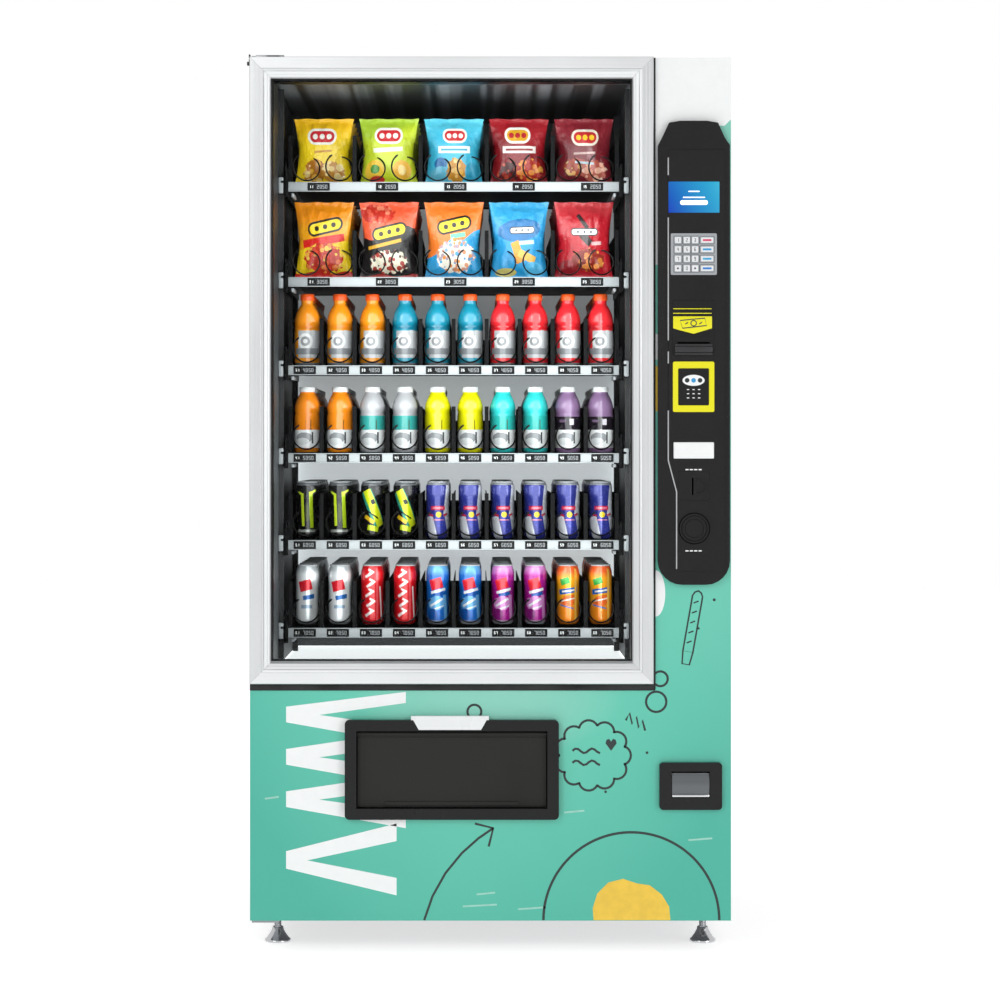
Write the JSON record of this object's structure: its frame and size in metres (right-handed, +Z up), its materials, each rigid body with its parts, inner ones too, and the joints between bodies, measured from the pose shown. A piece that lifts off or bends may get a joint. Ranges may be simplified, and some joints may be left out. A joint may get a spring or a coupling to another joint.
{
  "type": "snack vending machine",
  "caption": "Free-standing glass-front vending machine with hinged door, spiral trays, keypad column and delivery hatch.",
  "frame": {"origin": "middle of the footprint, on the floor under the feet", "axes": "+Z up, +X to the customer's right, +Y from the glass front to the back"},
  "size_m": [1.045, 0.85, 1.945],
  "materials": {
    "cabinet_paint": "fine texture powder coat",
    "liner": "light grey satin coat",
    "zinc_steel": "zinc plated",
    "unit_black": "black enamel",
    "feet_chrome": "plated",
    "door_paint": "black satin coat",
    "wrap": "printed film on painted sheet",
    "frame_aluminium": "satin anodised, drawn lines",
    "window_glass": "clear",
    "black_gloss": "gloss moulding",
    "flap_plastic": "fine moulded texture",
    "white_plastic": "gloss moulding",
    "panel_plastic": "fine sparkle black moulding",
    "screen_glass": "lit colour display under a clear cover",
    "steel_plate": "brushed",
    "key_steel": "fine satin",
    "yellow_plastic": "gloss moulding",
    "tray_paint": "black powder coat",
    "spiral_wire": "black coated wire"
  },
  "bodies": {
    "cabinet": {"cabinet_shell": "cabinet_paint", "inner_liner": "liner", "tray_uprights": "zinc_steel", "cooling_unit": "unit_black", "hinge_brackets": "zinc_steel", "levelling_feet": "feet_chrome"},
    "door": {"door_frame": "door_paint", "door_liner": "liner", "front_panel": "wrap", "glass_frame": "frame_aluminium", "glass_panes": "window_glass", "delivery_frame": "black_gloss", "delivery_bin": "tray_paint", "delivery_tab": "white_plastic", "payment_panel": "panel_plastic", "screen": "screen_glass", "keypad_plate": "steel_plate", "bill_acceptor": "black_gloss", "card_reader": "yellow_plastic", "coin_entry": "panel_plastic", "coin_cup": "black_gloss"},
    "hatch_flap": {"delivery_flap": "flap_plastic"},
    "cup_flap": {"coin_flap": "steel_plate"},
    "refund": {"refund_button": "panel_plastic"},
    "key_01": {"key_01": "key_steel"},
    "key_02": {"key_02": "key_steel"},
    "key_03": {"key_03": "key_steel"},
    "key_04": {"key_04": "key_steel"},
    "key_05": {"key_05": "key_steel"},
    "key_06": {"key_06": "key_steel"},
    "key_07": {"key_07": "key_steel"},
    "key_08": {"key_08": "key_steel"},
    "key_09": {"key_09": "key_steel"},
    "key_10": {"key_10": "key_steel"},
    "key_11": {"key_11": "key_steel"},
    "key_12": {"key_12": "key_steel"},
    "key_13": {"key_13": "key_steel"},
    "key_14": {"key_14": "key_steel"},
    "key_15": {"key_15": "key_steel"},
    "key_16": {"key_16": "key_steel"},
    "tray_1_slider": {"tray_1": "tray_paint", "spirals_1": "spiral_wire"},
    "live_spiral_1_left": {"live_spiral_1_left": "spiral_wire"},
    "live_spiral_1_right": {"live_spiral_1_right": "spiral_wire"},
    "tray_2_slider": {"tray_2": "tray_paint", "spirals_2": "spiral_wire"},
    "live_spiral_2_left": {"live_spiral_2_left": "spiral_wire"},
    "live_spiral_2_right": {"live_spiral_2_right": "spiral_wire"},
    "tray_3_slider": {"tray_3": "tray_paint", "spirals_3": "spiral_wire"},
    "live_spiral_3": {"live_spiral_3": "spiral_wire"},
    "tray_4_slider": {"tray_4": "tray_paint", "spirals_4": "spiral_wire"},
    "live_spiral_4": {"live_spiral_4": "spiral_wire"},
    "tray_5_slider": {"tray_5": "tray_paint", "spirals_5": "spiral_wire"},
    "live_spiral_5": {"live_spiral_5": "spiral_wire"},
    "tray_6_slider": {"tray_6": "tray_paint", "spirals_6": "spiral_wire"},
    "live_spiral_6": {"live_spiral_6": "spiral_wire"}
  },
  "joints": [
    {"name": "door_hinge", "type": "hinge", "parent": "cabinet", "child": "door", "pos_m": [-0.512, -0.385, 1], "axis": [0, 0, -1], "range_deg": [0, 110]},
    {"name": "hatch_hinge", "type": "hinge", "parent": "door", "child": "hatch_flap", "pos_m": [-0.0839, -0.405, 0.471], "axis": [1, 0, 0], "range_deg": [0, 62]},
    {"name": "cup_hinge", "type": "hinge", "parent": "door", "child": "cup_flap", "pos_m": [0.4344, -0.411, 0.385], "axis": [1, 0, 0], "range_deg": [0, 60]},
    {"name": "refund_press", "type": "slide", "parent": "door", "child": "refund", "axis": [0, 1, 0], "range_m": [0, 0.004], "stiffness_N_per_m": 250},
    {"name": "key_01_press", "type": "slide", "parent": "door", "child": "key_01", "axis": [0, 1, 0], "range_m": [0, 0.002], "stiffness_N_per_m": 400},
    {"name": "key_02_press", "type": "slide", "parent": "door", "child": "key_02", "axis": [0, 1, 0], "range_m": [0, 0.002], "stiffness_N_per_m": 400},
    {"name": "key_03_press", "type": "slide", "parent": "door", "child": "key_03", "axis": [0, 1, 0], "range_m": [0, 0.002], "stiffness_N_per_m": 400},
    {"name": "key_04_press", "type": "slide", "parent": "door", "child": "key_04", "axis": [0, 1, 0], "range_m": [0, 0.002], "stiffness_N_per_m": 400},
    {"name": "key_05_press", "type": "slide", "parent": "door", "child": "key_05", "axis": [0, 1, 0], "range_m": [0, 0.002], "stiffness_N_per_m": 400},
    {"name": "key_06_press", "type": "slide", "parent": "door", "child": "key_06", "axis": [0, 1, 0], "range_m": [0, 0.002], "stiffness_N_per_m": 400},
    {"name": "key_07_press", "type": "slide", "parent": "door", "child": "key_07", "axis": [0, 1, 0], "range_m": [0, 0.002], "stiffness_N_per_m": 400},
    {"name": "key_08_press", "type": "slide", "parent": "door", "child": "key_08", "axis": [0, 1, 0], "range_m": [0, 0.002], "stiffness_N_per_m": 400},
    {"name": "key_09_press", "type": "slide", "parent": "door", "child": "key_09", "axis": [0, 1, 0], "range_m": [0, 0.002], "stiffness_N_per_m": 400},
    {"name": "key_10_press", "type": "slide", "parent": "door", "child": "key_10", "axis": [0, 1, 0], "range_m": [0, 0.002], "stiffness_N_per_m": 400},
    {"name": "key_11_press", "type": "slide", "parent": "door", "child": "key_11", "axis": [0, 1, 0], "range_m": [0, 0.002], "stiffness_N_per_m": 400},
    {"name": "key_12_press", "type": "slide", "parent": "door", "child": "key_12", "axis": [0, 1, 0], "range_m": [0, 0.002], "stiffness_N_per_m": 400},
    {"name": "key_13_press", "type": "slide", "parent": "door", "child": "key_13", "axis": [0, 1, 0], "range_m": [0, 0.002], "stiffness_N_per_m": 400},
    {"name": "key_14_press", "type": "slide", "parent": "door", "child": "key_14", "axis": [0, 1, 0], "range_m": [0, 0.002], "stiffness_N_per_m": 400},
    {"name": "key_15_press", "type": "slide", "parent": "door", "child": "key_15", "axis": [0, 1, 0], "range_m": [0, 0.002], "stiffness_N_per_m": 400},
    {"name": "key_16_press", "type": "slide", "parent": "door", "child": "key_16", "axis": [0, 1, 0], "range_m": [0, 0.002], "stiffness_N_per_m": 400},
    {"name": "tray_1_pull", "type": "slide", "parent": "cabinet", "child": "tray_1_slider", "axis": [0, -1, 0], "range_m": [0, 0.09]},
    {"name": "live_spiral_1_left_turn", "type": "hinge", "parent": "tray_1_slider", "child": "live_spiral_1_left", "pos_m": [-0.1188, 0.026, 1.7272], "axis": [0, 1, 0], "continuous": true},
    {"name": "live_spiral_1_right_turn", "type": "hinge", "parent": "tray_1_slider", "child": "live_spiral_1_right", "pos_m": [-0.0446, 0.026, 1.7272], "axis": [0, 1, 0], "continuous": true},
    {"name": "tray_2_pull", "type": "slide", "parent": "cabinet", "child": "tray_2_slider", "axis": [0, -1, 0], "range_m": [0, 0.09]},
    {"name": "live_spiral_2_left_turn", "type": "hinge", "parent": "tray_2_slider", "child": "live_spiral_2_left", "pos_m": [-0.1188, 0.026, 1.5138], "axis": [0, 1, 0], "continuous": true},
    {"name": "live_spiral_2_right_turn", "type": "hinge", "parent": "tray_2_slider", "child": "live_spiral_2_right", "pos_m": [-0.0446, 0.026, 1.5138], "axis": [0, 1, 0], "continuous": true},
    {"name": "tray_3_pull", "type": "slide", "parent": "cabinet", "child": "tray_3_slider", "axis": [0, -1, 0], "range_m": [0, 0.09]},
    {"name": "live_spiral_3_turn", "type": "hinge", "parent": "tray_3_slider", "child": "live_spiral_3", "pos_m": [-0.1188, 0.026, 1.3156], "axis": [0, 1, 0], "continuous": true},
    {"name": "tray_4_pull", "type": "slide", "parent": "cabinet", "child": "tray_4_slider", "axis": [0, -1, 0], "range_m": [0, 0.09]},
    {"name": "live_spiral_4_turn", "type": "hinge", "parent": "tray_4_slider", "child": "live_spiral_4", "pos_m": [-0.1188, 0.026, 1.1186], "axis": [0, 1, 0], "continuous": true},
    {"name": "tray_5_pull", "type": "slide", "parent": "cabinet", "child": "tray_5_slider", "axis": [0, -1, 0], "range_m": [0, 0.09]},
    {"name": "live_spiral_5_turn", "type": "hinge", "parent": "tray_5_slider", "child": "live_spiral_5", "pos_m": [-0.1188, 0.026, 0.9233], "axis": [0, 1, 0], "continuous": true},
    {"name": "tray_6_pull", "type": "slide", "parent": "cabinet", "child": "tray_6_slider", "axis": [0, -1, 0], "range_m": [0, 0.09]},
    {"name": "live_spiral_6_turn", "type": "hinge", "parent": "tray_6_slider", "child": "live_spiral_6", "pos_m": [-0.1188, 0.026, 0.7263], "axis": [0, 1, 0], "continuous": true}
  ],
  "couplings": [
    {"joint": "live_spiral_1_right_turn", "follows": "live_spiral_1_left_turn", "ratio": 1},
    {"joint": "live_spiral_2_right_turn", "follows": "live_spiral_2_left_turn", "ratio": 1}
  ]
}
